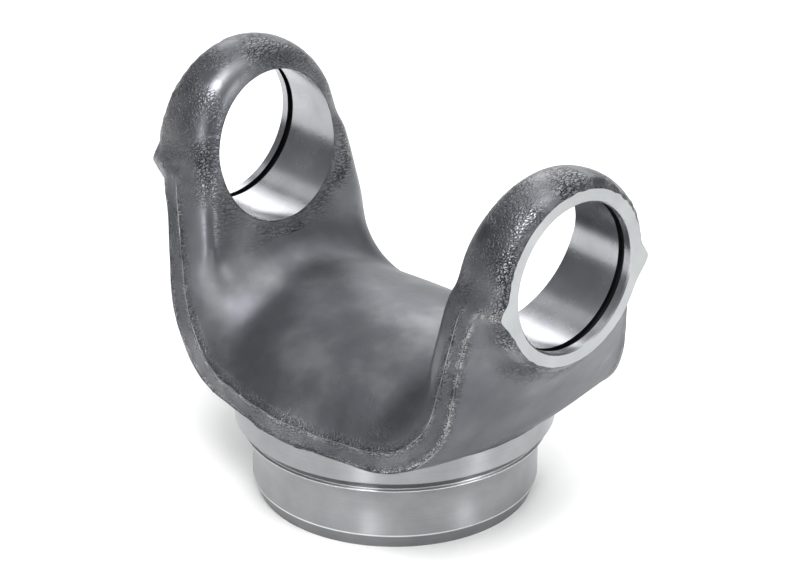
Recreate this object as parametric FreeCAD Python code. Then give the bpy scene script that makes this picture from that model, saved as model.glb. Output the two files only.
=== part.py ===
import FreeCAD, Part
import math
import os

# A forged weld yoke for a cross-type universal joint: two ears with cross bores stand on
# a convex saddle, and a turned hub below them enters the drive shaft's tube.
# Millimetres. The origin is the centre of the weld end, +Z runs up the shaft's axis and
# +X runs along the cross bores.

# Machined sizes of the ears
bore_diameter = 30.16          # press fit for the bearing cups
bore_height = 62.7             # weld end to the cross bore's axis
ring_seat_span = 91.6          # between the inboard walls of the two snap ring grooves
ring_groove_width = 1.55
ring_groove_depth = 0.95
ring_lip = 1.85                # groove to the outer face of the ear

# Machined sizes of the hub, from the weld end up
pilot_diameter = 57.12         # enters the tube
pilot_height = 8.3
pilot_chamfer_width = 1.15
pilot_chamfer_height = 3.0
flare_width = 2.14             # conical foot of the weld groove
flare_height = 5.9
bevel_width = 1.35             # up to the shoulder that meets the tube's outside
bevel_height = 2.6
shoulder_land = 4.7

# Forged sizes of the eyes
eye_wall = 5.15                # bore to the top of the eye
face_wall = 2.75               # bore to the edge of the faced ring
eye_crown_inset = 7.0          # outer face to the widest line round the eye
eye_round_length = 5.2         # along the bore, from the plain round to the faced ring
eye_step = 0.12                # the inner side is forged this much smaller
ear_thickness = 15.5           # at the height of the bores
ears_draft = 10.5              # degrees that each inner face leans outward
inner_corner = 0.9             # how far the inner rounding starts inside the bore

# Forged sizes of the ears, saddle and parting band
ear_side = 1.47                # the ears' sides beyond the eye, at the bores
band_inset = 8.8               # outer face to the band's inner line, at the bores
band_thickness = 2.5           # at the bores, before it flares out to the ring
band_flare = 2.4
band_inner_lean = 11.9         # degrees from upright
band_outer_lean = 7.7
band_top_drop = 1.4            # the band ends this far below the bore's axis
band_height = 3.9              # over the hub's sides
saddle_rise = 14.3             # the saddle's crown above the band
saddle_inset = 0.24            # the saddle's sides behind the shoulder
plan_taper = 3.3               # how much each long edge has drawn in at plan_reach
plan_reach = 20.0              # from the middle along X
plan_power = 1.5               # 2 would be a parabola
saddle_fillet = 8.0
band_inner_radius = 16.0
band_outer_radius = 18.5
heel_offset = 0.9              # outer heel of the ears beyond the shoulder
ear_foot_inset = 2.4           # outer face to the slope below the ring
ear_foot_drop = 1.6
ear_blank = 0.6                # forged stock beyond the faced ring
fade_height = 4.0              # the ears' sides run out into the eyes over this height
fade_inset = 1.0               # and end this deep inside them

# Flash left at the eyes' parting line
nub_rise = 2.0                 # beyond the faced ring
nub_root = 1.6                 # how deep its root lies in the eye
nub_above = 3.4
nub_below = 4.8
nub_flat = 0.9
nub_fade = 0.3                 # how deep it has sunk into the band

# Recess forged into the weld end
recess_wall = 7.4              # weld land round its mouth
recess_depth = 13.0
recess_draft = 12.0
recess_bevel = 3.5             # between its side and its floor

# How the forging is swept. Its stations run from 0 at the middle of the saddle to 1 at
# the end of the floor, 2 at the end of the corner, 3 at the top of the band and 4 where
# its sides have run out into the eye.
fade_stations = [4, 3]
ear_stations = [3, 2.85, 2.7, 2.55, 2.35, 2.2, 2]
corner_stations = [2, 1.83, 1.67, 1.5, 1.33, 1.17, 1]
heel_station = 1.25            # outside, where the flat underside ends
foot_station = 2.3             # outside, where the slope reaches the ring's stock
flare_station = 2.6            # where the band starts to flare
outer_fullness = 0.1           # crown of the outside, 0 a parabola and 1 flat

# How the eyes are lofted
eye_overlap = 0.2              # radians that the eye's top reaches below the bore's axis
eye_bury = 1.0                 # how far its inner side runs on inside the boss
eye_sections = 7
round_handle = 0.5523          # pole distance that turns a quarter curve into an ellipse

# Derived places
bore_radius = bore_diameter / 2
face_x = ring_seat_span / 2 + ring_groove_width + ring_lip
eye_radius = bore_radius + eye_wall
ring_radius = bore_radius + face_wall
crown_x = face_x - eye_crown_inset
core_radius = 0.7 * bore_radius
lean = math.tan(math.radians(ears_draft))
inner_x = face_x - ear_thickness
pilot_radius = pilot_diameter / 2
groove_radius = pilot_radius + flare_width
shoulder_radius = groove_radius + bevel_width
chamfer_radius = pilot_radius - pilot_chamfer_width
groove_height = pilot_height + flare_height
shoulder_height = groove_height + bevel_height
underside_height = shoulder_height + shoulder_land
saddle_edge = underside_height + band_height
saddle_crown = saddle_edge + saddle_rise
saddle_half_width = shoulder_radius - saddle_inset
ear_half_width = eye_radius + ear_side
band_top = bore_height - band_top_drop
band_inner_reach = face_x - band_inset
band_outer_reach = band_inner_reach + band_thickness


def vec(x, y, z):
    return FreeCAD.Vector(x, y, z)


def line(a, b):
    return Part.LineSegment(a, b).toShape()


def bezier(poles):
    curve = Part.BezierCurve()
    curve.setPoles(poles)
    return curve.toShape()


def faceFrom(edges):
    return Part.Face(Part.Wire(edges))


def blend(a, b, share):
    return a + (b - a) * share


def filletedLeg(level, radius, top_x, top_z, degrees):
    # Centre of the arc between a level floor and a leg that leans outward and ends at
    # the top point.
    slope = math.tan(math.radians(degrees))
    centre_z = level + radius
    leg_x = top_x - slope * (top_z - centre_z)
    centre_x = leg_x - radius / math.cos(math.radians(degrees))
    return centre_x, centre_z


def legPlace(level, radius, top_x, top_z, degrees, station):
    # Stations 0 to 1 run along the floor, 1 to 2 round the arc and 2 to 3 up the leg,
    # which goes on by the fade's height from 3 to 4.
    centre_x, centre_z = filletedLeg(level, radius, top_x, top_z, degrees)
    if station <= 1:
        return centre_x * station, level
    turn = math.radians(90 - degrees)
    if station <= 2:
        angle = turn * (station - 1)
        return centre_x + radius * math.sin(angle), centre_z - radius * math.cos(angle)
    foot_x = centre_x + radius * math.sin(turn)
    foot_z = centre_z - radius * math.cos(turn)
    share = min(station, 3) - 2 + max(station - 3, 0) * fade_height / (top_z - foot_z)
    return blend(foot_x, top_x, share), blend(foot_z, top_z, share)


def outerPlace(station):
    # Outer surface at mid width: flat under the saddle, straight up the sloping heel,
    # then up the forged stock behind the ring.
    heel_x = shoulder_radius + heel_offset
    foot_x = face_x - ear_foot_inset
    foot_z = bore_height - ring_radius - ear_foot_drop
    if station <= heel_station:
        return heel_x * station / heel_station, underside_height
    if station <= foot_station:
        share = (station - heel_station) / (foot_station - heel_station)
        return blend(heel_x, foot_x, share), blend(underside_height, foot_z, share)
    share = min(1, (station - foot_station) / (3 - foot_station))
    rise = max(station - 3, 0) * fade_height
    return blend(foot_x, face_x + ear_blank, share), blend(foot_z, band_top, share) + rise


def innerBand(station):
    return legPlace(
        saddle_edge, band_inner_radius, band_inner_reach, band_top, band_inner_lean, station
    )


def outerBand(station):
    x, z = legPlace(
        underside_height, band_outer_radius, band_outer_reach, band_top, band_outer_lean, station
    )
    share = min(1, max(0, (station - flare_station) / (3 - flare_station)))
    return x + band_flare * share ** 2, z


def planWidth(x):
    return saddle_half_width - plan_taper * (x / plan_reach) ** plan_power


def halfWidth(station):
    if station <= 2:
        return planWidth(innerBand(station)[0])
    if station <= 3:
        return blend(planWidth(innerBand(2)[0]), ear_half_width, station - 2)
    return blend(ear_half_width, eye_radius - fade_inset, station - 3)


def crownedEdge(side, band, crown, fullness):
    # A convex edge from one side of the forging to the other. Fullness 0 is a parabola
    # and 1 is flat in the middle with tight shoulders.
    band_x, band_z, width = band
    dx = crown[0] - band_x
    dz = crown[1] - band_z
    shoulder = 1 + fullness
    middle = 4 * (1 - fullness) / 3
    places = [
        (1, 0),
        (0.5 + fullness / 2, shoulder),
        (0, middle),
        (-0.5 - fullness / 2, shoulder),
        (-1, 0),
    ]
    poles = []
    for across, rise in places:
        poles.append(vec(band_x + dx * rise, side * across * width, band_z + dz * rise))
    return bezier(poles)


def innerEdges(band, crown, flatness):
    # The inner side of a section in three curves: a flank, the top and the other flank.
    # Poles from the band's edge to near the middle, as shares of the half width and of the
    # crown's height: the saddle's parabola, and the ear's flat face with drafted flanks.
    saddle = [(1, 0), (5 / 6, 1 / 3), (2 / 3, 7 / 12), (1 / 2, 3 / 4), (1 / 6, 13 / 12)]
    ear = [(1, 0), (0.955, 0.45), (0.905, 0.985), (0.80, 0.985), (0.45, 1.003)]
    band_x, band_z, width = band

    def place(side, index):
        across = blend(saddle[index][0], ear[index][0], flatness)
        rise = blend(saddle[index][1], ear[index][1], flatness)
        x = blend(band_x, crown[0], rise)
        return vec(x, side * across * width, blend(band_z, crown[1], rise))

    return [
        bezier([place(1, index) for index in (0, 1, 2, 3)]),
        bezier([place(1, 3), place(1, 4), place(-1, 4), place(-1, 3)]),
        bezier([place(-1, index) for index in (3, 2, 1, 0)]),
    ]


def section(station, hand):
    inner_band = innerBand(station)
    outer_band = outerBand(station)
    width = halfWidth(station)
    top_x = inner_x - lean * band_top_drop
    inner_crown = legPlace(saddle_crown, saddle_fillet, top_x, band_top, ears_draft, station)
    outer_crown = outerPlace(station)
    inner = (hand * inner_band[0], inner_band[1], width)
    outer = (hand * outer_band[0], outer_band[1], width)
    flatness = min(1, max(0, station - 1)) - max(0, station - 3)
    inside = innerEdges(inner, (hand * inner_crown[0], inner_crown[1]), flatness)
    last = crownedEdge(-1, outer, (hand * outer_crown[0], outer_crown[1]), outer_fullness)
    left = line(vec(inner[0], -width, inner[1]), vec(outer[0], -width, outer[1]))
    right = line(vec(outer[0], width, outer[1]), vec(inner[0], width, inner[1]))
    return Part.Wire(inside + [left, last, right])


def sweepOf(places, straight):
    wires = [section(station, hand) for station, hand in places]
    return Part.makeLoft(wires, False, straight, False).Faces


def forgedBow():
    # The U of ears and saddle: straight ears, swept corners and a floor in one skin.
    faces = sweepOf([(1, -1), (0.5, -1), (0, 1), (0.5, 1), (1, 1)], True)
    for hand in (-1, 1):
        faces += sweepOf([(station, hand) for station in ear_stations], True)
        faces += sweepOf([(station, hand) for station in corner_stations], False)
        faces += sweepOf([(station, hand) for station in fade_stations], True)
        faces.append(Part.Face(section(fade_stations[0], hand)))
    skin = Part.makeShell(faces)
    skin.sewShape()
    return Part.makeSolid(skin)


def eyePlace(hand, x, radius, angle):
    # A point of the eye, by its distance from the bore's axis and the turn about it.
    return vec(hand * x, radius * math.cos(angle), bore_height + radius * math.sin(angle))


def eyeSection(hand, angle):
    # Half section of the eye's inner side in a plane through the bore's axis. It starts at
    # the leaning inner face, so its rim moves outward towards the top.
    rim_x = inner_x + lean * bore_radius * math.sin(angle)
    start = bore_radius - inner_corner
    radius = eye_radius - eye_step
    end_x = crown_x + eye_bury
    places = [
        (rim_x, start),
        (rim_x, blend(start, radius, round_handle)),
        (blend(crown_x, rim_x, round_handle), radius),
        (crown_x, radius),
    ]
    poles = [eyePlace(hand, x, distance, angle) for x, distance in places]
    core = eyePlace(hand, rim_x, core_radius, angle)
    end = eyePlace(hand, end_x, radius, angle)
    end_core = eyePlace(hand, end_x, core_radius, angle)
    edges = [line(core, poles[0]), bezier(poles), line(poles[-1], end)]
    return Part.Wire(edges + [line(end, end_core), line(end_core, core)])


def eyeInside(hand):
    step = (math.pi + 2 * eye_overlap) / (eye_sections - 1)
    wires = [eyeSection(hand, step * index - eye_overlap) for index in range(eye_sections)]
    return Part.makeLoft(wires, True, False, False)


def eyeBoss(hand):
    # The round boss behind the faced ring, with the stock that the facing takes off.
    start_x = face_x - eye_round_length
    reach = face_x - start_x
    drop = eye_radius - ring_radius
    bend = (reach ** 2 + drop ** 2) / (2 * drop)
    half = math.asin(reach / bend) / 2
    middle_x = start_x + bend * math.sin(half)
    middle_radius = eye_radius - bend * (1 - math.cos(half))
    stock_x = face_x + ear_blank
    back = eyePlace(hand, crown_x, eye_radius, 0)
    start = eyePlace(hand, start_x, eye_radius, 0)
    middle = eyePlace(hand, middle_x, middle_radius, 0)
    rim = eyePlace(hand, face_x, ring_radius, 0)
    nose = eyePlace(hand, stock_x, ring_radius - 2 * ear_blank, 0)
    nose_core = eyePlace(hand, stock_x, core_radius, 0)
    core = eyePlace(hand, crown_x, core_radius, 0)
    edges = [line(core, back), line(back, start), Part.Arc(start, middle, rim).toShape()]
    edges += [line(rim, nose), line(nose, nose_core), line(nose_core, core)]
    return faceFrom(edges).revolve(vec(0, 0, bore_height), vec(1, 0, 0), 360)


def flashNub(hand, side):
    # The trimmed parting flash that rises from the band out to the faced ring.
    def outline(x, base, rise):
        places = [
            (base - nub_root, band_top - nub_below),
            (base + rise, band_top - nub_flat),
            (base + rise, band_top),
            (base - nub_root, band_top + nub_above),
        ]
        points = [vec(hand * x, side * y, z) for y, z in places]
        return Part.makePolygon(points + [points[0]])

    back = outline(band_outer_reach + band_flare, ear_half_width, -nub_fade)
    front = outline(face_x + ear_blank, ring_radius, nub_rise)
    return Part.makeLoft([back, front], True, True, False)


def turned(outline):
    # A solid of revolution about the shaft's axis, from radii and heights.
    corners = [vec(radius, 0, z) for radius, z in outline]
    face = Part.Face(Part.makePolygon(corners + [corners[0]]))
    return face.revolve(vec(0, 0, 0), vec(0, 0, 1), 360)


def hubBlank():
    # Pilot, weld groove and shoulder, with its top buried in the forging.
    buried = blend(underside_height, saddle_edge, 0.5)
    return turned([
        (0, 0),
        (chamfer_radius, 0),
        (pilot_radius, pilot_chamfer_height),
        (pilot_radius, pilot_height),
        (groove_radius, groove_height),
        (shoulder_radius, shoulder_height),
        (shoulder_radius, buried),
        (0, buried),
    ])


def recess():
    slope = math.tan(math.radians(recess_draft))
    mouth = chamfer_radius - recess_wall
    side_top = recess_depth - recess_bevel
    side_radius = mouth - side_top * slope
    return turned([
        (0, -recess_bevel),
        (mouth + recess_bevel * slope, -recess_bevel),
        (side_radius, side_top),
        (side_radius - recess_bevel, recess_depth),
        (0, recess_depth),
    ])


def crossBore():
    end_x = face_x + 2 * ear_blank
    return Part.makeCylinder(bore_radius, 2 * end_x, vec(-end_x, 0, bore_height), vec(1, 0, 0))


def ringGroove(hand):
    wall = ring_seat_span / 2
    start = wall if hand > 0 else -wall - ring_groove_width
    radius = bore_radius + ring_groove_depth
    return Part.makeCylinder(radius, ring_groove_width, vec(start, 0, bore_height), vec(1, 0, 0))


def facingCut(hand):
    # Everything beyond the faced ring's plane.
    depth = eye_radius
    half = 2 * eye_radius
    corner = face_x if hand > 0 else -face_x - depth
    return Part.makeBox(depth, 2 * half, 2 * half, vec(corner, -half, bore_height - half))


def forgedYoke():
    pieces = [hubBlank()]
    cuts = [crossBore(), recess()]
    for hand in (-1, 1):
        pieces += [eyeInside(hand), eyeBoss(hand)]
        pieces += [flashNub(hand, -1), flashNub(hand, 1)]
        cuts += [ringGroove(hand), facingCut(hand)]
    forging = forgedBow().fuse(pieces)
    return forging.cut(cuts)


yoke = forgedYoke()
solid = yoke.Solids[0]
print("solids", len(yoke.Solids), "valid", solid.isValid(), "volume", round(solid.Volume))
print("box", yoke.BoundBox)
os.makedirs("parts", exist_ok=True)
solid.exportStep("parts/forged_yoke.step")
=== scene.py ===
import math

import bpy
import bmesh
import numpy as np
from mathutils import Matrix, Vector, noise
from mathutils.bvhtree import BVHTree
from mathutils.kdtree import KDTree


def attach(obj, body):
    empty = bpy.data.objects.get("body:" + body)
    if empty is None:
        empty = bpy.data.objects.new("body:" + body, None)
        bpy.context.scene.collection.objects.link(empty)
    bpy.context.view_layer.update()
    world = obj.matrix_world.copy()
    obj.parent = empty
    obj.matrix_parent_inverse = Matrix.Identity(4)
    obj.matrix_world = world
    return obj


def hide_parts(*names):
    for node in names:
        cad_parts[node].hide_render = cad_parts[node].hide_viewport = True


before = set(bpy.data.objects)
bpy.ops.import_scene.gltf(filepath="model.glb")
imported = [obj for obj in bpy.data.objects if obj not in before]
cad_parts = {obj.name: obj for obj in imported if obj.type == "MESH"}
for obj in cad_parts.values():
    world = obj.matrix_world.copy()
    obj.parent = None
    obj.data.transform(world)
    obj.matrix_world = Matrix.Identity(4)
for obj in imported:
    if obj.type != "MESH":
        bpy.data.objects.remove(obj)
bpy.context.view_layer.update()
mm = 0.001


# Small helpers

def linearColour(hexValue):
    # sRGB hex to linear red, green, blue and alpha
    parts = [int(hexValue[i:i + 2], 16) / 255 for i in (1, 3, 5)]
    return [v / 12.92 if v <= 0.04045 else ((v + 0.055) / 1.055) ** 2.4 for v in parts] + [1.0]


def addNode(tree, kind, settings=None, links=None):
    # One node: settings go to its properties or its unlinked inputs, links are input to output
    node = tree.nodes.new(kind)
    for key, value in (settings or {}).items():
        if isinstance(key, str) and hasattr(node, key):
            setattr(node, key, value)
        else:
            node.inputs[key].default_value = value
    for key, output in (links or {}).items():
        tree.links.new(output, node.inputs[key])
    return node


def newMaterial(name):
    material = bpy.data.materials.new(name)
    material.use_nodes = True
    tree = material.node_tree
    tree.nodes.clear()
    return material, tree


def addObject(name, mesh):
    thing = bpy.data.objects.new(name, mesh)
    bpy.context.scene.collection.objects.link(thing)
    return thing


def meshFrom(name, verts, faces):
    mesh = bpy.data.meshes.new(name)
    mesh.from_pydata(verts, [], faces)
    mesh.update()
    return mesh


def settle(thing):
    # Applies a piece's modifiers
    graph = bpy.context.evaluated_depsgraph_get()
    mesh = bpy.data.meshes.new_from_object(thing.evaluated_get(graph))
    thing.modifiers.clear()
    thing.data = mesh


# Sizes in mm, the same as the solid's where it has them

sizes = {
    "boreRadius": 15.08,
    "boreHeight": 62.7,
    "faceX": 49.2,
    "grooveInnerX": 45.8,
    "grooveWidth": 1.55,
    "grooveDepth": 0.95,
    "ringRadius": 17.83,
    "innerX": 33.7,
    "earDraft": 10.5,      # degrees
    "lead": (26.6, -2.1),  # where the hub's cut starts, under the weld end
    "chamfer": [(27.41, 0.0), (28.56, 3.0), (28.56, 7.0)],
    "flare": (30.75, 14.2),  # top of the hollow flare that starts above the chamfer's cylinder
    "flareCurve": 2.2,
    "bevel": [(30.25, 14.55), (32.05, 16.6), (32.05, 21.35)],
    "brokenCorner": 0.17,
    "mouthChamfer": 0.3,   # at each bore's outer end
    "recessMouth": 20.0,
    "nub": [(16.2, 56.5), (19.83, 60.4), (19.83, 61.3), (16.2, 64.7)],  # across and up
    "grain": 0.44,         # mesh size of the forged skin
    "bandTop": 61.3,       # the parting band ends under the eyes
    "bandInner": (25.4, 16.0, 40.4, 11.9),  # level, corner radius, reach at the top, degrees
    "bandOuter": (21.5, 18.5, 42.9, 7.7),
    "bandFlare": (2.4, 2.6),  # the outer line swings out to the ring, from a station on
    "saddleWidth": 31.81,  # half, at the middle
    "saddleTaper": (3.3, 20, 1.5),  # draws in so much at a reach, and the curve's power
    "earWidth": 21.70,     # half, under the eyes
    "triangles": 160000,
    "segments": 256,       # round each machined cut
    "clear": 60,           # past the piece on every side
    "edgeAngle": 24,       # degrees, of an edge that the skin snaps to
    "crispAngle": 9,       # degrees, of an edge between cuts that shows as one
    "edgeStep": 0.08,      # spacing of the points that the skin snaps to
    "edgePull": 0.62,      # mesh steps that it is pulled from
}


def cleaned(mesh, weld=0.0):
    # Normals outward, and points at one place made one
    soup = bmesh.new()
    soup.from_mesh(mesh)
    if weld:
        bmesh.ops.remove_doubles(soup, verts=soup.verts, dist=weld)
    bmesh.ops.recalc_face_normals(soup, faces=soup.faces)
    soup.to_mesh(mesh)
    soup.free()
    return mesh


def latheMesh(name, outline, alongX, height=0.0, segments=192, slant=0.0, slots=None):
    # Turns a closed outline of (radius, along) about X or Z. Slant leans the first end, and
    # slots gives the material slot of each run
    verts = []
    faces = []
    count = len(outline)
    for step in range(segments):
        angle = 2 * math.pi * step / segments
        c = math.cos(angle)
        s = math.sin(angle)
        for index, (radius, along) in enumerate(outline):
            if alongX:
                lean = slant * radius * s if index < 2 else 0.0
                verts.append(((along + lean) * mm, radius * c * mm, (height + radius * s) * mm))
            else:
                verts.append((radius * c * mm, radius * s * mm, along * mm))
    for step in range(segments):
        nextStep = (step + 1) % segments
        for index in range(count):
            nextIndex = (index + 1) % count
            faces.append((
                step * count + index,
                step * count + nextIndex,
                nextStep * count + nextIndex,
                nextStep * count + index,
            ))
    mesh = meshFrom(name, verts, faces)
    if slots:
        mesh.polygons.foreach_set("material_index", slots * segments)
    return cleaned(mesh, 1e-7)


def boxMesh(name, low, high):
    verts = [
        (x * mm, y * mm, z * mm)
        for x in (low[0], high[0]) for y in (low[1], high[1]) for z in (low[2], high[2])
    ]
    faces = [(0, 1, 3, 2), (4, 6, 7, 5), (0, 4, 5, 1), (2, 3, 7, 6), (0, 2, 6, 4), (1, 5, 7, 3)]
    return meshFrom(name, verts, faces)


def mirrored(outline, hand):
    return [(radius, hand * along) for radius, along in outline]


# The forging's blank: the solid with its machined places filled up again

def join(thing, mesh, operation, materials=()):
    # Adds a mesh to a piece, or takes it away. New faces carry the materials given
    for material in materials:
        mesh.materials.append(material)
    tool = addObject("tool", mesh)
    modifier = thing.modifiers.new("join", "BOOLEAN")
    modifier.operation = operation
    modifier.solver = "EXACT"
    modifier.material_mode = "TRANSFER"
    modifier.object = tool
    settle(thing)
    bpy.data.objects.remove(tool)
    bpy.data.meshes.remove(mesh)


def prismMesh(name, outline, start, end):
    # A closed outline of (y, z) drawn out along X
    count = len(outline)
    verts = [(x * mm, y * mm, z * mm) for x in (start, end) for y, z in outline]
    faces = [tuple(range(count)), tuple(range(2 * count - 1, count - 1, -1))]
    for index in range(count):
        after = (index + 1) % count
        faces.append((index, index + count, after + count, after))
    return cleaned(meshFrom(name, verts, faces))


stockSizes = {
    "plugRadius": 0.25,    # more than the bore's
    "plugStart": 0.12,     # from the ear's inner face
    "plugEnd": 44,
    "capRadius": 1.5,      # more than the bore's
    "capStart": 43.0,
    "capStep": 48.4,       # where it widens to the ring
    "capSlope": (0.45, 1.45),  # outside and inside the ring
    "facing": 1.2,         # above the rings' faces
    "nubRoot": 0.6,        # under them
    "sleeve": (32.6, -0.9, 20.6),  # radius, low and high end
    "sleeveBore": 0.5,     # more than the recess's
}


def stockMeshes():
    # Plugs for the bores, caps over the ears, bars for the nubs and a sleeve round the hub
    lean = math.tan(math.radians(sizes["earDraft"]))
    height = sizes["boreHeight"]
    plugRadius = sizes["boreRadius"] + stockSizes["plugRadius"]
    wideRadius = sizes["boreRadius"] + stockSizes["capRadius"]
    face = sizes["faceX"]
    top = face + stockSizes["facing"]
    ring = sizes["ringRadius"]
    start = sizes["innerX"] + stockSizes["plugStart"]
    end = stockSizes["plugEnd"]
    foot, step = stockSizes["capStart"], stockSizes["capStep"]
    outside, inside = stockSizes["capSlope"]
    stock = []
    for hand in (-1, 1):
        plug = [(0, start), (plugRadius, start), (plugRadius, end), (0, end)]
        stock.append(latheMesh("plug", mirrored(plug, hand), True, height, 96, hand * lean))
        cap = [
            (0, foot), (wideRadius, foot), (wideRadius, step),
            (ring + outside, face - outside), (ring - inside, top), (0, top),
        ]
        stock.append(latheMesh("cap", mirrored(cap, hand), True, height, 96))
        for side in (-1, 1):
            outline = [(side * y, z) for y, z in sizes["nub"]]
            root = face - stockSizes["nubRoot"]
            stock.append(prismMesh("nub", outline, hand * root, hand * top))
    mouth = sizes["recessMouth"] + stockSizes["sleeveBore"]
    radius, low, high = stockSizes["sleeve"]
    sleeve = [(mouth, low), (radius, low), (radius, high), (mouth, high)]
    stock.append(latheMesh("sleeve", sleeve, False))
    return stock


def makeExact():
    # The solid with its stock on, exact and still with sharp edges
    soup = bmesh.new()
    soup.from_mesh(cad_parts["forged_yoke"].data)
    bmesh.ops.remove_doubles(soup, verts=soup.verts, dist=2e-6)
    mesh = bpy.data.meshes.new("exact")
    soup.to_mesh(mesh)
    soup.free()
    exact = addObject("exact", mesh)
    for stock in stockMeshes():
        join(exact, stock, "UNION")
    return exact


def bandPlace(line, station):
    # A point of a band line: 0 to 1 along the saddle, 1 to 2 round the corner, 2 to 3 up the ear
    level, radius, reach, degrees = line
    lean = math.radians(degrees)
    centreZ = level + radius
    centreX = reach - math.tan(lean) * (sizes["bandTop"] - centreZ) - radius / math.cos(lean)
    if station <= 1:
        return centreX * station, level
    angle = (math.pi / 2 - lean) * min(1, station - 1)
    x = centreX + radius * math.sin(angle)
    z = centreZ - radius * math.cos(angle)
    share = max(0, station - 2)
    return x + (reach - x) * share, z + (sizes["bandTop"] - z) * share


def bandWidth(station):
    x = bandPlace(sizes["bandInner"], min(2, station))[0]
    taper, reach, power = sizes["saddleTaper"]
    width = sizes["saddleWidth"] - taper * (x / reach) ** power
    return width + (sizes["earWidth"] - width) * max(0, station - 2)


def bandLine(name, step, last=3.0):
    # One quarter of a band line, from the middle of the saddle up the right ear
    points = []
    flare, start = sizes["bandFlare"]
    count = int(25 * last / step)
    for index in range(count + 1):
        station = last * index / count
        x, z = bandPlace(sizes[name], station)
        if name == "bandOuter":
            x += flare * (max(0, station - start) / (3 - start)) ** 2
        points.append((x, bandWidth(station), z))
    return points


def bandPoints(step):
    # Points along both band lines, on all four quarters
    return [
        Vector((hand * x, side * y, z)) * mm
        for name in ("bandInner", "bandOuter") for x, y, z in bandLine(name, step)
        for hand in (-1, 1) for side in (-1, 1)
    ]


def treeOf(points):
    tree = KDTree(len(points))
    for index, point in enumerate(points):
        tree.insert(point, index)
    tree.balance()
    return tree


def edgePoints(mesh, angle, step):
    # Points along the exact solid's sharp edges
    soup = bmesh.new()
    soup.from_mesh(mesh)
    points = []
    for edge in soup.edges:
        if len(edge.link_faces) == 2 and edge.calc_face_angle(0) > angle:
            first, last = edge.verts[0].co, edge.verts[1].co
            parts = max(1, int(edge.calc_length() / (step * mm)))
            points += [first.lerp(last, index / parts) for index in range(parts + 1)]
    soup.free()
    return points


def makeBlank():
    # An even mesh of the forging's skin, whose points are pulled onto the solid and its edges
    exact = makeExact()
    blank = addObject("yoke", exact.data.copy())
    remesh = blank.modifiers.new("grain", "REMESH")
    remesh.mode = "VOXEL"
    remesh.voxel_size = sizes["grain"] * mm
    wrap = blank.modifiers.new("wrap", "SHRINKWRAP")
    wrap.wrap_method = "NEAREST_SURFACEPOINT"
    wrap.target = exact
    settle(blank)
    step = sizes["edgeStep"]
    tree = treeOf(edgePoints(exact.data, math.radians(sizes["edgeAngle"]), step) + bandPoints(step))
    for vert in blank.data.vertices:
        place, _, distance = tree.find(vert.co)
        if distance < sizes["edgePull"] * sizes["grain"] * mm:
            vert.co = place
    exactMesh = exact.data
    bpy.data.objects.remove(exact)
    bpy.data.meshes.remove(exactMesh)
    return blank


skinRelief = {
    "waves": (16.0, 0.05),      # size and height in mm of the skin's slow unevenness
    "dimples": (4.0, 0.014),
    "grit": (1.5, 0.04),        # only where the scale was pressed in
    "edgeScale": 0.05,          # how far an edge stands out from its neighbours where it is bright
    "hollowScale": 0.012,       # how deep a hollow corner is where it gets its full fillet
    "filletSpread": 5,          # mesh steps that a fillet reaches to each side
    "filletPasses": 26,
    "eyeFoot": ((33.0, 47.0), (15.5, 24.0), (57.5, 69.0)),  # where the ears run out into the eyes
    "eyeFootPasses": 30,
    "evenPasses": 40,           # all of the skin but the band's crisp edges
    "evenAcross": 47.5,         # mm to each side
    "evenFrom": (22.5, 1.0),    # the height where that starts, and over which it does
    "crisp": (0.9, 1.2),        # mm that those edges keep to themselves, and over which that ends
    "pinned": (0.12, 0.8),      # mm from a band line that stay put, and over which that ends
    "pinnedTo": (57, 3),        # the height where that ends, and over which it does
    "fade": 1.5,                # mm over which a region ends
    "pull": 0.6,                # share of the way to the neighbours' mean in each pass
}


def meshArrays(mesh):
    count = len(mesh.vertices)
    places = np.empty(count * 3, np.float32)
    normals = np.empty(count * 3, np.float32)
    mesh.vertices.foreach_get("co", places)
    mesh.vertices.foreach_get("normal", normals)
    ends = np.empty(len(mesh.edges) * 2, np.int32)
    mesh.edges.foreach_get("vertices", ends)
    return places.reshape(-1, 3), normals.reshape(-1, 3), ends.reshape(-1, 2)


def neighbourMean(values, ends):
    # The mean of each vertex's neighbours, for one number per vertex
    count = len(values)
    total = np.bincount(ends[:, 0], values[ends[:, 1]], count)
    total += np.bincount(ends[:, 1], values[ends[:, 0]], count)
    return total / np.maximum(1, np.bincount(ends.ravel(), minlength=count))


def edgeOffset(places, normals, ends):
    # How far each point stands out from its neighbours' mean, in metres
    offset = np.zeros(len(places))
    for axis in range(3):
        column = places[:, axis].astype(float)
        offset += (column - neighbourMean(column, ends)) * normals[:, axis]
    return offset


def relaxed(places, ends, weight, passes):
    # The points drawn toward their neighbours' mean, each by its weight
    result = places.astype(float)
    pull = skinRelief["pull"] * weight
    for _ in range(passes):
        for axis in range(3):
            column = result[:, axis]
            result[:, axis] = column + pull * (neighbourMean(column, ends) - column)
    return result


def rise(values, start, reach):
    # 0 up to the start and 1 past the reach
    return np.clip((values - start) / reach, 0, 1)


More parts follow.
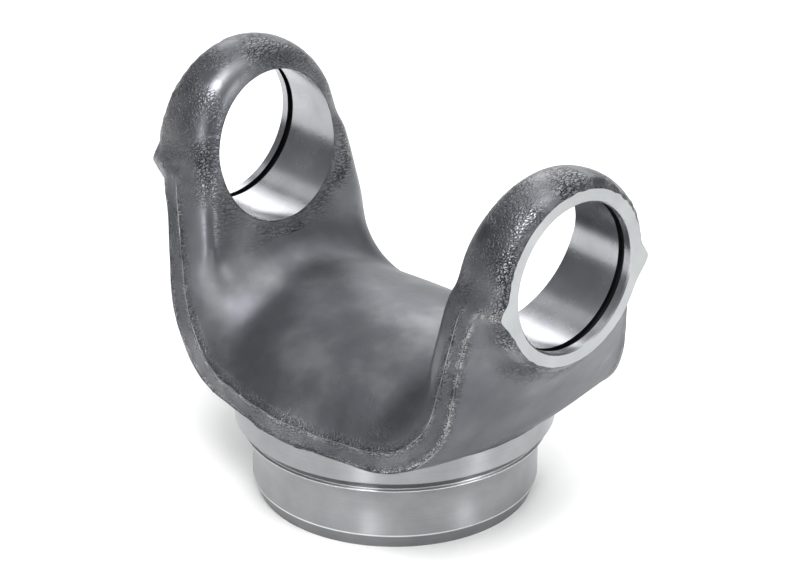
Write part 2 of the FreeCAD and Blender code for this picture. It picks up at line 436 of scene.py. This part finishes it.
def filletSkin(blank):
    # Hollow corners of a forging are rounded, and the ears run softly into the eyes
    mesh = blank.data
    places, normals, ends = meshArrays(mesh)
    tree = treeOf(bandPoints(0.15))
    away = np.array([tree.find(place)[2] for place in places.tolist()]) / mm
    fade = skinRelief["fade"]
    free = rise(away, *skinRelief["pinned"])
    free = np.maximum(free, rise(places[:, 2] / mm, *skinRelief["pinnedTo"]))
    hollow = -edgeOffset(places, normals, ends) / (skinRelief["hollowScale"] * mm)
    hollow = np.clip(hollow - 0.5, 0, 1)
    for _ in range(skinRelief["filletSpread"]):
        hollow = np.maximum(hollow, np.minimum(1, 1.7 * neighbourMean(hollow, ends)))
    hollow *= free
    places = relaxed(places, ends, hollow, skinRelief["filletPasses"])
    foot = np.ones(len(places))
    for axis, (low, high) in enumerate(skinRelief["eyeFoot"]):
        column = places[:, axis] / mm
        column = np.abs(column) if axis < 2 else column
        foot *= rise(column, low, fade) * rise(-column, -high, fade)
    places = relaxed(places, ends, foot, skinRelief["eyeFootPasses"])
    even = rise(away, *skinRelief["crisp"])
    even *= rise(-np.abs(places[:, 0]) / mm, -skinRelief["evenAcross"], fade)
    even *= rise(places[:, 2] / mm, *skinRelief["evenFrom"])
    places = relaxed(places, ends, even, skinRelief["evenPasses"])
    mesh.vertices.foreach_set("co", places.astype(np.float32).ravel())
    mesh.update()


def markEdges(blank):
    # Stores how convex the skin is: 0.5 when flat, 1 on an outer edge and 0 in a hollow
    mesh = blank.data
    places, normals, ends = meshArrays(mesh)
    offset = edgeOffset(places, normals, ends)
    for _ in range(2):
        offset = 0.5 * offset + 0.5 * neighbourMean(offset, ends)
    edge = np.clip(0.5 + 0.5 * offset / (skinRelief["edgeScale"] * mm), 0, 1)
    edges = mesh.attributes.new("edge", "FLOAT", "POINT")
    edges.data.foreach_set("value", edge.astype(np.float32))


roughPlaces = {
    "specks": 9.0,          # mm, size of the faint patches anywhere on the skin
    "clouds": 7.0,          # mm, size of the gaps in the rough places
    "rim": (3.6, 4.6),      # mm from a bore, and how far that reaches
    "foot": (46, 3.5),      # across, where the rings' feet stand
    "footHeight": (-7, 12),  # from the bore's middle
    "band": 2.4,            # mm from a band line
    "low": (27, 6),         # height on the saddle
    "lowAcross": (26, 14),
}


def nearness(value, middle, reach, most=1.0):
    # Most in the middle, and 0 past the reach
    return max(0.0, most - abs(value - middle) / reach)


def roughPatches(point, bandAway):
    # 0 on smooth skin and 1 where scale was hammered into it, most of all round the bores, and
    # how much of the grit is kept: none at a bore's mouth
    x, y, z = point / mm
    height = z - sizes["boreHeight"]
    away = math.hypot(y, height) - sizes["boreRadius"]
    value = noise.noise(point / (roughPlaces["specks"] * mm) + Vector((3.1, 7.7, 1.9)))
    patch = min(0.05, max(0.0, value * 0.3))
    uneven = 0.62 + 1.6 * noise.noise(point / (roughPlaces["clouds"] * mm))
    uneven = min(1.0, max(0.0, uneven))
    rim = nearness(away, *roughPlaces["rim"], 1.1) if abs(x) > 30 else 0.0
    foot = nearness(abs(x), *roughPlaces["foot"]) * nearness(height, *roughPlaces["footHeight"])
    band = nearness(bandAway, 0, roughPlaces["band"])
    low = 0.0
    if bandAway > 3 and abs(y) < 31:
        low = 0.35 * nearness(z, *roughPlaces["low"]) * nearness(abs(x), *roughPlaces["lowAcross"])
    # The skin is torn a little where the ring's face was cut through it
    kept = min(1.0, max(0.0, away - 1.0)) * (1 + 4 * min(1.0, max(0.0, abs(x) - 46.5)))
    return max(patch, uneven * max(rim, foot, low), min(1, uneven + 0.25) * band), kept


def reliefSkin(blank):
    # The skin's own unevenness, and how rough it is, stored for its material
    mesh = blank.data
    places, normals = meshArrays(mesh)[:2]
    shift = np.zeros(len(places), np.float32)
    patches = np.zeros(len(places), np.float32)
    band = treeOf(bandPoints(0.5))
    for index, place in enumerate(places.tolist()):
        point = Vector(place)
        rough, kept = roughPatches(point, band.find(point)[2] / mm)
        patches[index] = rough
        total = 0.0
        for key, share in (("waves", 1), ("dimples", 1), ("grit", rough * kept)):
            size, height = skinRelief[key]
            total += noise.noise(point / (size * mm)) * height * share
        shift[index] = total * mm
    places += normals * shift[:, None]
    mesh.vertices.foreach_set("co", places.ravel())
    mesh.attributes.new("patch", "FLOAT", "POINT").data.foreach_set("value", patches)
    mesh.update()


def thinSkin(blank):
    # Fewer triangles where the skin is even
    modifier = blank.modifiers.new("thin", "DECIMATE")
    modifier.ratio = min(1.0, sizes["triangles"] / (2.0 * len(blank.data.polygons)))
    settle(blank)


# Machining: exact cuts whose faces carry the finish of the tool that made them, with painted shade
# or highlight in some of their colours

def hubOutline():
    # The hub's profile from the weld end up, and the slot of each run: 0 turned, 1 the bright
    # corners that the tool's nose left, partly a painted highlight, 2 the rougher chamfer, darker
    # as painted shade, 3 the bevel under the shoulder, dark as painted shade
    places = [sizes["lead"]] + sizes["chamfer"]
    kinds = [2, 2, 0]
    low = sizes["chamfer"][-1]
    high = sizes["flare"]
    steps = 8
    for index in range(1, steps + 1):
        share = index / steps
        radius = low[0] + (high[0] - low[0]) * share ** sizes["flareCurve"]
        places.append((radius, low[1] + (high[1] - low[1]) * share))
        kinds.append(0)
    places += sizes["bevel"]
    kinds += [1, 3, 0]
    outline = [places[0]]
    slots = []
    for index in range(1, len(places) - 1):
        before, here, after = (Vector(place) for place in places[index - 1:index + 2])
        turn = (here - before).angle(after - here)
        slots.append(kinds[index - 1])
        if turn < math.radians(15):
            outline.append(tuple(here))
            continue
        start = here + (before - here).normalized() * sizes["brokenCorner"]
        end = here + (after - here).normalized() * sizes["brokenCorner"]
        outline += [tuple(start), tuple((here * 2 + start + end) / 4), tuple(end)]
        slots += [0, 0] if kinds[index - 1] == 3 else [1, 1]
    outline.append(places[-1])
    slots.append(kinds[-1])
    return outline, slots


def machine(blank, finishes):
    # Turning, parting, facing and boring, in that order
    def cut(mesh, *names):
        join(blank, mesh, "DIFFERENCE", [finishes[name] for name in names])

    height = sizes["boreHeight"]
    face = sizes["faceX"]
    around = sizes["segments"]
    clear = sizes["clear"]
    outline, slots = hubOutline()
    outline += [(clear, outline[-1][1]), (clear, outline[0][1])]
    slots += [0, 0, 0]
    turning = latheMesh("turning", outline, False, segments=around, slots=slots)
    cut(turning, "turned", "rim", "chamferShaded", "bevelShaded")
    cut(boxMesh("parting", (-clear, -clear, -8), (clear, clear, 0)), "turned")
    for hand in (-1, 1):
        low, high = sorted((hand * face, hand * (face + 12)))
        cut(boxMesh("facing", (low, -30, height - 30), (high, 30, height + 30)), "faced")
    bore = sizes["boreRadius"]
    deep = bore + sizes["grooveDepth"]
    first = sizes["grooveInnerX"]
    last = first + sizes["grooveWidth"]
    start = face - sizes["mouthChamfer"]
    right = [
        (bore, first), (deep, first), (deep, last), (bore, last),
        (bore, start), (bore + 0.4, start + 0.4), (bore + 0.4, clear),
    ]
    bar = [(0, -clear)] + mirrored(reversed(right), -1) + right + [(0, clear)]
    # The groove's darker finish is painted shade in the groove
    runs = [1, 1, 1, 0, 0, 0]  # the ring groove's two walls and its floor are darker
    slots = [0] + runs[::-1] + [0] + runs + [0, 0]
    cut(latheMesh("boring", bar, True, height, around, slots=slots), "bored", "grooveShaded")


flashBead = {
    "radius": 0.14,            # mm, of the sharp seam that the trimming die left
    "step": 0.6,
    "sunk": 0.35,              # share of the radius
    "breaks": (4.0, 0.4),      # length in mm and share of the radius that it comes and goes
    "sides": 6,
    # The bead's colours, brighter than the skin's: partly bare trimmed steel, partly a painted
    # highlight line
    "low": "#58595c",
    "high": "#929396",
    "torn": 5,                 # mm, size of the bright and dull places
    "roughness": 0.38,
}


def onSkin(tree, points):
    # The line's points and their outward directions on the skin, evened out
    places = []
    outs = []
    for point in points:
        place, normal = tree.find_nearest(point)[:2]
        places.append(place)
        outs.append(normal)
    for _ in range(3):
        for row in (places, outs):
            row[1:-1] = [(a + b * 2 + c) / 4 for a, b, c in zip(row, row[1:], row[2:])]
    return places, outs


def beadMesh(points, outs):
    # A thin round bead along a line, partly sunk in the skin
    verts = []
    faces = []
    sides = flashBead["sides"]
    length, breaks = flashBead["breaks"]
    for index, point in enumerate(points):
        before = points[max(0, index - 1)]
        after = points[min(len(points) - 1, index + 1)]
        along = (after - before).normalized()
        out = (outs[index] - along * outs[index].dot(along)).normalized()
        across = along.cross(out)
        radius = flashBead["radius"] * mm * (1 + noise.noise(point / (length * mm)) * breaks)
        if index in (0, len(points) - 1):
            radius *= 0.3
        centre = point - out * radius * flashBead["sunk"]
        for side in range(sides):
            angle = 2 * math.pi * side / sides
            spoke = out * radius * math.cos(angle) + across * radius * math.sin(angle)
            verts.append(centre + spoke)
    for index in range(len(points) - 1):
        for side in range(sides):
            after = (side + 1) % sides
            here = index * sides
            faces.append((here + side, here + after, here + sides + after, here + sides + side))
    faces.append(tuple(range(sides)))
    faces.append(tuple(range(len(verts) - 1, len(verts) - sides - 1, -1)))
    return cleaned(meshFrom("seam", [tuple(v) for v in verts], faces))


def addSeams(thing, material):
    # The seams join the yoke's own mesh
    thing.data.materials.append(material)
    slot = len(thing.data.materials) - 1
    soup = bmesh.new()
    soup.from_mesh(thing.data)
    tree = BVHTree.FromBMesh(soup)
    for name, last in (("bandInner", 2.98), ("bandOuter", 2.9)):
        quarter = bandLine(name, flashBead["step"], last)
        whole = [(-x, y, z) for x, y, z in reversed(quarter[1:])] + quarter
        for side in (-1, 1):
            places, outs = onSkin(tree, [Vector((x, side * y, z)) * mm for x, y, z in whole])
            mesh = beadMesh(places, outs)
            first = len(soup.faces)
            soup.from_mesh(mesh)
            soup.faces.ensure_lookup_table()
            for face in soup.faces[first:]:
                face.material_index = slot
            bpy.data.meshes.remove(mesh)
    soup.to_mesh(thing.data)
    soup.free()


def markSharp(thing, angle):
    # Cut faces meet the skin and each other at crisp edges, and the skin itself is soft
    soup = bmesh.new()
    soup.from_mesh(thing.data)
    for face in soup.faces:
        face.smooth = True
    for edge in soup.edges:
        near = edge.link_faces
        if len(near) != 2:
            continue
        first, second = near[0].material_index, near[1].material_index
        if first != second:
            edge.smooth = False
        elif first:
            edge.smooth = near[0].normal.angle(near[1].normal, 0) < angle
    soup.to_mesh(thing.data)
    soup.free()


# Finishes

def surfaceOutput(tree, shader):
    addNode(tree, "ShaderNodeOutputMaterial", links={"Surface": shader.outputs["BSDF"]})


def noiseOf(tree, place, size, detail, roughness=0.5):
    # Noise whose lumps are about size mm
    settings = {"Scale": 1 / (size * mm), "Detail": detail, "Roughness": roughness}
    return addNode(tree, "ShaderNodeTexNoise", settings, {"Vector": place}).outputs


def bumpOf(tree, height, strength, depth, under=None):
    # A bump of so many mm, over another one
    settings = {"Strength": strength, "Distance": depth * mm}
    links = {"Height": height, "Normal": under} if under else {"Height": height}
    return addNode(tree, "ShaderNodeBump", settings, links).outputs["Normal"]


def rampOf(tree, value, stops):
    # Each stop is a place and a level of grey or a colour
    node = addNode(tree, "ShaderNodeValToRGB", links={"Fac": value})
    elements = node.color_ramp.elements
    while len(elements) < len(stops):
        elements.new(0.5)
    for element, (place, level) in zip(elements, stops):
        element.position = place
        element.color = level if isinstance(level, list) else (level, level, level, 1.0)
    return node.outputs["Color"]


forgedSkin = {
    # The hollow tone is painted shade in hollow corners, and the tone of rounded edges is partly
    # rubbed wear and partly a painted highlight
    "hollow": "#46474b",
    "even": "#5f6064",
    "wornAndHighlight": "#909091",
    "tones": (0.33, 0.49, 0.68),  # where those three lie, from hollows to rounded edges
    "cloudy": 0.9,                # share of the clouds in the tone
    "roughness": (0.50, 0.28),    # in hollows and on the flat, and on rounded edges
    "wrinkled": -0.03,            # added to the roughness where the skin is wrinkled
    "creaseShadeLevels": (1.15, 0.3),       # brightness beside the wrinkles and in them
    # The wrinkles' grooves are darkened in the colour: painted shade in the creases
    "cloud": 16,                  # mm
    "grit": (0.5, 0.05),          # size and depth in mm
    "pebble": (1.7, 0.10),
    "wrinkle": (0.6, 0.22),
    "bend": (1.3, 1.0),           # size and reach in mm of the wrinkles' wandering
    "stretch": (1.0, 0.36, 1.0),  # draws them out into strokes
    "turn": (0.5, 0.2, 0.6),
}


def forgedScaleSteel():
    # Carbon steel forged hot in closed dies and blasted: a dark satin skin with a fine pebble,
    # smoother where the metal flowed, and wrinkled where scale was pressed in
    material, tree = newMaterial("forgedScaleSteel")
    place = addNode(tree, "ShaderNodeTexCoord").outputs["Object"]
    edge = addNode(tree, "ShaderNodeAttribute", {"attribute_name": "edge"}).outputs["Fac"]
    patch = addNode(tree, "ShaderNodeAttribute", {"attribute_name": "patch"}).outputs["Fac"]
    gritSize, gritDepth = forgedSkin["grit"]
    pebbleSize, pebbleDepth = forgedSkin["pebble"]
    wrinkleSize, wrinkleDepth = forgedSkin["wrinkle"]
    bendSize, bendReach = forgedSkin["bend"]
    grit = noiseOf(tree, place, gritSize, 3.0, 0.6)["Fac"]
    pebble = noiseOf(tree, place, pebbleSize, 2.0)["Fac"]
    cloud = noiseOf(tree, place, forgedSkin["cloud"], 3.0, 0.55)["Fac"]
    turned = addNode(
        tree, "ShaderNodeMapping",
        {"Rotation": forgedSkin["turn"], "Scale": forgedSkin["stretch"]}, {"Vector": place},
    )
    bend = noiseOf(tree, place, bendSize, 2.0)["Color"]
    bent = addNode(
        tree, "ShaderNodeVectorMath", {"operation": "MULTIPLY_ADD", 1: (bendReach * mm,) * 3},
        {0: bend, 2: turned.outputs["Vector"]},
    )
    wrinkle = addNode(
        tree, "ShaderNodeTexVoronoi",
        {"feature": "DISTANCE_TO_EDGE", "Scale": 1 / (wrinkleSize * mm)},
        {"Vector": bent.outputs[0]},
    ).outputs["Distance"]
    fold = rampOf(tree, wrinkle, [(0.0, 0.0), (0.10, 0.75), (0.32, 1.0)])
    groove = rampOf(tree, wrinkle, [(0.03, 1.0), (0.17, 0.0)])
    tone = addNode(
        tree, "ShaderNodeMath", {"operation": "MULTIPLY_ADD", 1: forgedSkin["cloudy"]},
        {0: cloud, 2: edge},
    )
    # The ramp ends at 1, so the tone is halved
    half = addNode(tree, "ShaderNodeMath", {"operation": "MULTIPLY", 1: 0.5}, {0: tone.outputs[0]})
    # By convexity: darker in hollows as painted shade, brighter on rounded edges, partly rubbed
    # wear and partly a painted highlight
    tones = zip(forgedSkin["tones"], ("hollow", "even", "wornAndHighlight"))
    stops = [(level, linearColour(forgedSkin[key])) for level, key in tones]
    base = rampOf(tree, half.outputs[0], stops)
    # Where the skin is wrinkled its grooves are darkened: painted shade in the creases
    creaseShade = addNode(tree, "ShaderNodeMath", {"operation": "MULTIPLY"}, {0: groove, 1: patch})
    beside, within = forgedSkin["creaseShadeLevels"]
    creaseShadeFactor = addNode(
        tree, "ShaderNodeMapRange", {"To Min": beside, "To Max": within},
        {"Value": creaseShade.outputs[0]},
    )
    colour = addNode(
        tree, "ShaderNodeMixRGB", {"blend_type": "MULTIPLY", "Fac": 1.0},
        {"Color1": base, "Color2": creaseShadeFactor.outputs["Result"]},
    )
    low, high = forgedSkin["roughness"]
    wornAndHighlight = addNode(
        tree, "ShaderNodeMapRange",
        {"From Min": 0.5, "From Max": 0.6, "To Min": low, "To Max": high}, {"Value": edge},
    )
    rough = addNode(
        tree, "ShaderNodeMath", {"operation": "MULTIPLY_ADD", 1: forgedSkin["wrinkled"]},
        {0: patch, 2: wornAndHighlight.outputs["Result"]},
    )
    relief = addNode(tree, "ShaderNodeMath", {"operation": "MULTIPLY"}, {0: fold, 1: patch})
    deep = bumpOf(tree, relief.outputs[0], 1.0, wrinkleDepth)
    fine = bumpOf(tree, grit, 0.35, gritDepth, deep)
    coarse = bumpOf(tree, pebble, 0.4, pebbleDepth, fine)
    shader = addNode(
        tree, "ShaderNodeBsdfPrincipled", {"Metallic": 1.0},
        {"Base Color": colour.outputs["Color"], "Roughness": rough.outputs[0], "Normal": coarse},
    )
    surfaceOutput(tree, shader)
    return material


def trimmedSteelAndHighlight():
    # Steel where the flash was sheared off: thin and bare, and brighter than the skin, partly as a
    # painted highlight line
    material, tree = newMaterial("trimmedSteelAndHighlight")
    place = addNode(tree, "ShaderNodeTexCoord").outputs["Object"]
    torn = noiseOf(tree, place, flashBead["torn"], 2.0)["Fac"]
    low, high = (linearColour(flashBead[key]) for key in ("low", "high"))
    colour = rampOf(tree, torn, [(0.35, low), (0.65, high)])
    shader = addNode(
        tree, "ShaderNodeBsdfPrincipled", {"Metallic": 1.0, "Roughness": flashBead["roughness"]},
        {"Base Color": colour, "Normal": bumpOf(tree, torn, 0.4, 0.05)},
    )
    surfaceOutput(tree, shader)
    return material


# Feed is the spacing and depth the height of the tool's lines, in mm
cutSteel = {
    "turned": {
        "low": "#8a8b8d", "high": "#9e9fa1",
        "feed": 0.28, "depth": 0.006, "roughness": 0.33, "anisotropy": 0.85,
    },
    # The rim's near white is partly burnished steel and partly a painted highlight on the broken
    # corners
    "rim": {
        "low": "#d6d7d8", "high": "#e2e3e4",
        "feed": 0.3, "depth": 0.002, "roughness": 0.3, "anisotropy": 0.5,
    },
    # Darker than the turned steel: painted shade on the chamfer, which faces down; its greater
    # roughness is the tool's
    "chamferShaded": {
        "low": "#77787a", "high": "#87888a",
        "feed": 0.4, "depth": 0.008, "roughness": 0.42, "anisotropy": 0.6,
    },
    # Dark: painted shade on the bevel under the shoulder, which faces down
    "bevelShaded": {
        "low": "#4c4d4f", "high": "#5a5b5d",
        "feed": 0.4, "depth": 0.006, "roughness": 0.45, "anisotropy": 0.5,
    },
    "faced": {
        "low": "#9c9ea0", "high": "#acaeaf",
        "feed": 0.35, "depth": 0.006, "roughness": 0.42, "anisotropy": 0.4,
    },
    # Near black: painted shade in the bore's ring groove
    "grooveShaded": {
        "low": "#2e2f31", "high": "#3b3c3e",
        "feed": 0.3, "depth": 0.008, "roughness": 0.42, "anisotropy": 0.4,
    },
    "bored": {
        "low": "#96979b", "high": "#aeafb2",
        "feed": 0.25, "depth": 0.005, "roughness": 0.27, "anisotropy": 0.6,
    },
}


cutMarks = {
    "stain": 7,            # mm
    "lined": 0.35,         # share of the tool's lines in the tone
    "tones": (0.4, 0.95),
    "spread": 0.04,        # in roughness, either way
    "strength": 0.5,
    "gleam": 0.25,         # turn of the gleam, so that it lies across the lines
}


def toolMarkedSteel(name):
    # Bare cut steel: grey and bright, drawn out into bands by the fine round lines of the tool
    # The groove's, the bevel's and the chamfer's darker colours are painted shade, and the rim's
    # near white is partly a painted highlight
    facts = cutSteel[name]
    material, tree = newMaterial(name + "Steel")
    place = addNode(tree, "ShaderNodeTexCoord").outputs["Object"]
    onHub = name not in ("faced", "bored", "grooveShaded")
    centre = (0, 0, 0) if onHub else (0, 0, -sizes["boreHeight"] * mm)
    axis = (0, 0, 1) if onHub else (1, 0, 0)

    def vector(operation, settings, links):
        settings = {"operation": operation, **settings}
        return addNode(tree, "ShaderNodeVectorMath", settings, links).outputs

    moved = vector("ADD", {1: centre}, {0: place})[0]
    around = vector("CROSS_PRODUCT", {0: axis}, {1: moved})[0]
    tangent = vector("NORMALIZE", {}, {0: around})[0]
    if name == "faced":
        along = vector("LENGTH", {}, {0: around})["Value"]
    else:
        axes = addNode(tree, "ShaderNodeSeparateXYZ", links={"Vector": place})
        along = axes.outputs["Z" if onHub else "X"]
    lines = addNode(
        tree, "ShaderNodeTexNoise",
        {"noise_dimensions": "1D", "Scale": 1 / (facts["feed"] * mm), "Detail": 3.0}, {"W": along},
    ).outputs["Fac"]
    stain = noiseOf(tree, place, cutMarks["stain"], 3.0)["Fac"]
    tone = addNode(
        tree, "ShaderNodeMath", {"operation": "MULTIPLY_ADD", 1: cutMarks["lined"]},
        {0: lines, 2: stain},
    )
    dull, bright = cutMarks["tones"]
    stops = [(dull, linearColour(facts["low"])), (bright, linearColour(facts["high"]))]
    middle = facts["roughness"]
    spread = cutMarks["spread"]
    rough = addNode(
        tree, "ShaderNodeMapRange",
        {"To Min": middle - spread, "To Max": middle + spread}, {"Value": stain},
    )
    shader = addNode(
        tree, "ShaderNodeBsdfPrincipled",
        {
            "Metallic": 1.0, "Anisotropic": facts["anisotropy"],
            "Anisotropic Rotation": cutMarks["gleam"],
        },
        {
            "Base Color": rampOf(tree, tone.outputs[0], stops),
            "Roughness": rough.outputs["Result"],
            "Normal": bumpOf(tree, lines, cutMarks["strength"], facts["depth"]),
            "Tangent": tangent,
        },
    )
    surfaceOutput(tree, shader)
    return material


floorPaper = {"colour": "#f7f7f6", "roughness": 0.9, "fibre": 0.8, "side": 6.0}


def paleFloor():
    # Matt seamless paper with a faint fibre
    material, tree = newMaterial("studioPaper")
    place = addNode(tree, "ShaderNodeTexCoord").outputs["Object"]
    fibre = noiseOf(tree, place, floorPaper["fibre"], 2.0)["Fac"]
    shader = addNode(
        tree, "ShaderNodeBsdfPrincipled",
        {"Base Color": linearColour(floorPaper["colour"]), "Roughness": floorPaper["roughness"]},
        {"Normal": bumpOf(tree, fibre, 0.05, 0.02)},
    )
    surfaceOutput(tree, shader)
    return material


# Building the yoke

skin = forgedScaleSteel()
finishes = {name: toolMarkedSteel(name) for name in cutSteel}
seamSteel = trimmedSteelAndHighlight()

yoke = makeBlank()
print("blank", len(yoke.data.polygons), "faces")
yoke.data.materials.clear()
yoke.data.materials.append(skin)
filletSkin(yoke)
markEdges(yoke)
reliefSkin(yoke)
thinSkin(yoke)
print("skin relief done,", len(yoke.data.polygons), "faces")
machine(yoke, finishes)
markSharp(yoke, math.radians(sizes["crispAngle"]))
addSeams(yoke, seamSteel)
yoke.data.polygons.foreach_set("use_smooth", [True] * len(yoke.data.polygons))
print("machined", len(yoke.data.polygons), "faces", [m.name for m in yoke.data.materials])
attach(yoke, "root")
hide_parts("forged_yoke")


# Camera, floor and light

cameraView = {
    "place": (0.54747, -0.52232, 0.42314),
    "azimuth": 46.27,
    "elevation": 26.70,
    "roll": -0.07,
    "lens": 193.57,
    "film": 36.0,
}


def makeCamera():
    camera = bpy.data.objects.new("camera", bpy.data.cameras.new("camera"))
    bpy.context.scene.collection.objects.link(camera)
    camera.data.sensor_width = cameraView["film"]
    camera.data.lens = cameraView["lens"]
    camera.data.clip_start = 0.05
    camera.data.clip_end = 20.0
    turn = Matrix.Rotation(math.radians(cameraView["azimuth"]), 4, "Z")
    tilt = Matrix.Rotation(math.radians(90 - cameraView["elevation"]), 4, "X")
    roll = Matrix.Rotation(math.radians(cameraView["roll"]), 4, "Z")
    camera.matrix_world = Matrix.Translation(cameraView["place"]) @ turn @ tilt @ roll
    bpy.context.scene.camera = camera


def makeFloor():
    side = floorPaper["side"]
    verts = [(-side, -side, 0), (side, -side, 0), (side, side, 0), (-side, side, 0)]
    floor = addObject("floor", meshFrom("floor", verts, [(0, 1, 2, 3)]))
    floor.data.materials.append(paleFloor())


lightSizes = {
    "key": {"place": (0.25, -0.38, 0.85), "size": (0.42, 0.42), "power": 7.2},
    "wall": {"place": (-0.60, 0.62, 0.50), "size": (0.9, 0.5), "power": 4.6},
    "back": {"place": (-0.62, -0.06, 0.72), "size": (0.3, 0.4), "power": 0.3},
    "top": {"place": (0.15, 0.35, 1.0), "size": (1.3, 1.0), "power": 7.5},
    "left": {"place": (0.39, -0.80, 0.22), "size": (0.12, 0.4), "power": 2.6},
    "right": {"place": (0.86, 0.18, 0.22), "size": (0.14, 0.4), "power": 2.8},
}
lightAim = (0, 0, 0.04)
roomLight = {"horizon": 0.20, "zenith": 0.42, "colour": "#fafbff"}


def makeLights():
    for name, facts in lightSizes.items():
        light = bpy.data.lights.new(name, "AREA")
        light.shape = "RECTANGLE"
        light.size, light.size_y = facts["size"]
        light.energy = facts["power"]
        lamp = bpy.data.objects.new(name, light)
        bpy.context.scene.collection.objects.link(lamp)
        lamp.location = facts["place"]
        lamp.visible_camera = False
        aim = Vector(lightAim) - lamp.location
        lamp.rotation_euler = aim.to_track_quat("-Z", "Y").to_euler()
    world = bpy.data.worlds.new("studio")
    bpy.context.scene.world = world
    world.use_nodes = True
    tree = world.node_tree
    direction = addNode(tree, "ShaderNodeTexCoord").outputs["Generated"]
    height = addNode(tree, "ShaderNodeSeparateXYZ", links={"Vector": direction}).outputs["Z"]
    glow = addNode(
        tree, "ShaderNodeMapRange",
        {"To Min": roomLight["horizon"], "To Max": roomLight["zenith"]}, {"Value": height},
    )
    tree.nodes["Background"].inputs["Color"].default_value = linearColour(roomLight["colour"])
    tree.links.new(glow.outputs["Result"], tree.nodes["Background"].inputs["Strength"])


makeCamera()
makeFloor()
makeLights()
bpy.context.scene.view_settings.view_transform = "Standard"
print("stage set")
